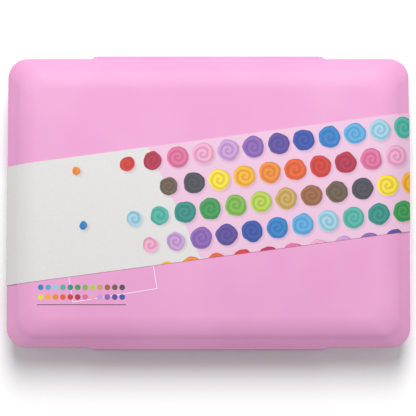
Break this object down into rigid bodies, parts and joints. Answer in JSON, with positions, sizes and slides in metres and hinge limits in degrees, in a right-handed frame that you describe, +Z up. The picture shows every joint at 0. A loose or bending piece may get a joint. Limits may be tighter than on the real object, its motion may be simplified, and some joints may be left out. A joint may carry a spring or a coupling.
{
  "type": "gouache paint set box",
  "caption": "Closed rectangular plastic case with a domed lid, two hinged locking flaps, a slanted paper sleeve and square paint cups in a tray inside.",
  "frame": {"origin": "middle of the case in plan, on the surface that it stands on, under the paper sleeve", "axes": "+X along the length, to the right as pictured; +Y to the far locking flap; +Z up"},
  "size_m": [0.357, 0.2612, 0.051],
  "materials": {
    "case_plastic": "satin",
    "tray_plastic": "satin",
    "cup_plastic": "satin",
    "sleeve_paper": "matte",
    "paint_black": "satin",
    "paint_dark_grey": "satin",
    "paint_deep_teal": "satin",
    "paint_olive": "satin",
    "paint_brick_red": "satin",
    "paint_orange": "satin",
    "paint_indigo_grey": "satin",
    "paint_cobalt_blue": "satin",
    "paint_grass_green": "satin",
    "paint_brown": "satin",
    "paint_orange_red": "satin",
    "paint_amber": "satin",
    "paint_violet": "satin",
    "paint_sky_blue": "satin",
    "paint_emerald": "satin",
    "paint_yellow_ochre": "satin",
    "paint_crimson": "satin",
    "paint_lemon_yellow": "satin",
    "paint_lilac": "satin",
    "paint_light_blue": "satin",
    "paint_lime": "satin",
    "paint_peach": "satin",
    "paint_pink": "satin",
    "paint_white": "satin"
  },
  "bodies": {
    "base": {"base_shell": "case_plastic", "cup_tray": "tray_plastic"},
    "lid": {"lid": "case_plastic"},
    "latch_front": {"latch_front": "case_plastic"},
    "latch_rear": {"latch_rear": "case_plastic"},
    "sleeve_upper": {"sleeve_upper": "sleeve_paper"},
    "sleeve_lower": {"sleeve_lower": "sleeve_paper"},
    "cup_01": {"cup_01": "cup_plastic", "paint_01": "paint_black"},
    "cup_02": {"cup_02": "cup_plastic", "paint_02": "paint_dark_grey"},
    "cup_03": {"cup_03": "cup_plastic", "paint_03": "paint_deep_teal"},
    "cup_04": {"cup_04": "cup_plastic", "paint_04": "paint_olive"},
    "cup_05": {"cup_05": "cup_plastic", "paint_05": "paint_brick_red"},
    "cup_06": {"cup_06": "cup_plastic", "paint_06": "paint_orange"},
    "cup_07": {"cup_07": "cup_plastic", "paint_07": "paint_indigo_grey"},
    "cup_08": {"cup_08": "cup_plastic", "paint_08": "paint_cobalt_blue"},
    "cup_09": {"cup_09": "cup_plastic", "paint_09": "paint_grass_green"},
    "cup_10": {"cup_10": "cup_plastic", "paint_10": "paint_brown"},
    "cup_11": {"cup_11": "cup_plastic", "paint_11": "paint_orange_red"},
    "cup_12": {"cup_12": "cup_plastic", "paint_12": "paint_amber"},
    "cup_13": {"cup_13": "cup_plastic", "paint_13": "paint_violet"},
    "cup_14": {"cup_14": "cup_plastic", "paint_14": "paint_sky_blue"},
    "cup_15": {"cup_15": "cup_plastic", "paint_15": "paint_emerald"},
    "cup_16": {"cup_16": "cup_plastic", "paint_16": "paint_yellow_ochre"},
    "cup_17": {"cup_17": "cup_plastic", "paint_17": "paint_crimson"},
    "cup_18": {"cup_18": "cup_plastic", "paint_18": "paint_lemon_yellow"},
    "cup_19": {"cup_19": "cup_plastic", "paint_19": "paint_lilac"},
    "cup_20": {"cup_20": "cup_plastic", "paint_20": "paint_light_blue"},
    "cup_21": {"cup_21": "cup_plastic", "paint_21": "paint_lime"},
    "cup_22": {"cup_22": "cup_plastic", "paint_22": "paint_peach"},
    "cup_23": {"cup_23": "cup_plastic", "paint_23": "paint_pink"},
    "cup_24": {"cup_24": "cup_plastic", "paint_24": "paint_white"}
  },
  "joints": [
    {"name": "lid_lift", "type": "slide", "parent": "base", "child": "lid", "axis": [0, 0, 1], "range_m": [0, 0.12]},
    {"name": "latch_front_swing", "type": "hinge", "parent": "lid", "child": "latch_front", "pos_m": [0, -0.12935, 0.03906], "axis": [-1, 0, 0], "range_deg": [0, 110]},
    {"name": "latch_rear_swing", "type": "hinge", "parent": "lid", "child": "latch_rear", "pos_m": [0, 0.12935, 0.03906], "axis": [1, 0, 0], "range_deg": [0, 110]},
    {"name": "sleeve_upper_slide", "type": "slide", "parent": "lid", "child": "sleeve_upper", "axis": [0, -1, 0], "range_m": [0, 0.215]},
    {"name": "sleeve_lower_slide", "type": "slide", "parent": "base", "child": "sleeve_lower", "axis": [0, -1, 0], "range_m": [0, 0.215]},
    {"name": "cup_01_lift", "type": "slide", "parent": "base", "child": "cup_01", "axis": [0, 0, 1], "range_m": [0, 0.008]},
    {"name": "cup_02_lift", "type": "slide", "parent": "base", "child": "cup_02", "axis": [0, 0, 1], "range_m": [0, 0.008]},
    {"name": "cup_03_lift", "type": "slide", "parent": "base", "child": "cup_03", "axis": [0, 0, 1], "range_m": [0, 0.008]},
    {"name": "cup_04_lift", "type": "slide", "parent": "base", "child": "cup_04", "axis": [0, 0, 1], "range_m": [0, 0.008]},
    {"name": "cup_05_lift", "type": "slide", "parent": "base", "child": "cup_05", "axis": [0, 0, 1], "range_m": [0, 0.008]},
    {"name": "cup_06_lift", "type": "slide", "parent": "base", "child": "cup_06", "axis": [0, 0, 1], "range_m": [0, 0.008]},
    {"name": "cup_07_lift", "type": "slide", "parent": "base", "child": "cup_07", "axis": [0, 0, 1], "range_m": [0, 0.008]},
    {"name": "cup_08_lift", "type": "slide", "parent": "base", "child": "cup_08", "axis": [0, 0, 1], "range_m": [0, 0.008]},
    {"name": "cup_09_lift", "type": "slide", "parent": "base", "child": "cup_09", "axis": [0, 0, 1], "range_m": [0, 0.008]},
    {"name": "cup_10_lift", "type": "slide", "parent": "base", "child": "cup_10", "axis": [0, 0, 1], "range_m": [0, 0.008]},
    {"name": "cup_11_lift", "type": "slide", "parent": "base", "child": "cup_11", "axis": [0, 0, 1], "range_m": [0, 0.008]},
    {"name": "cup_12_lift", "type": "slide", "parent": "base", "child": "cup_12", "axis": [0, 0, 1], "range_m": [0, 0.008]},
    {"name": "cup_13_lift", "type": "slide", "parent": "base", "child": "cup_13", "axis": [0, 0, 1], "range_m": [0, 0.008]},
    {"name": "cup_14_lift", "type": "slide", "parent": "base", "child": "cup_14", "axis": [0, 0, 1], "range_m": [0, 0.008]},
    {"name": "cup_15_lift", "type": "slide", "parent": "base", "child": "cup_15", "axis": [0, 0, 1], "range_m": [0, 0.008]},
    {"name": "cup_16_lift", "type": "slide", "parent": "base", "child": "cup_16", "axis": [0, 0, 1], "range_m": [0, 0.008]},
    {"name": "cup_17_lift", "type": "slide", "parent": "base", "child": "cup_17", "axis": [0, 0, 1], "range_m": [0, 0.008]},
    {"name": "cup_18_lift", "type": "slide", "parent": "base", "child": "cup_18", "axis": [0, 0, 1], "range_m": [0, 0.008]},
    {"name": "cup_19_lift", "type": "slide", "parent": "base", "child": "cup_19", "axis": [0, 0, 1], "range_m": [0, 0.008]},
    {"name": "cup_20_lift", "type": "slide", "parent": "base", "child": "cup_20", "axis": [0, 0, 1], "range_m": [0, 0.008]},
    {"name": "cup_21_lift", "type": "slide", "parent": "base", "child": "cup_21", "axis": [0, 0, 1], "range_m": [0, 0.008]},
    {"name": "cup_22_lift", "type": "slide", "parent": "base", "child": "cup_22", "axis": [0, 0, 1], "range_m": [0, 0.008]},
    {"name": "cup_23_lift", "type": "slide", "parent": "base", "child": "cup_23", "axis": [0, 0, 1], "range_m": [0, 0.008]},
    {"name": "cup_24_lift", "type": "slide", "parent": "base", "child": "cup_24", "axis": [0, 0, 1], "range_m": [0, 0.008]}
  ],
  "couplings": [
    {"joint": "sleeve_lower_slide", "follows": "sleeve_upper_slide", "ratio": 1}
  ]
}
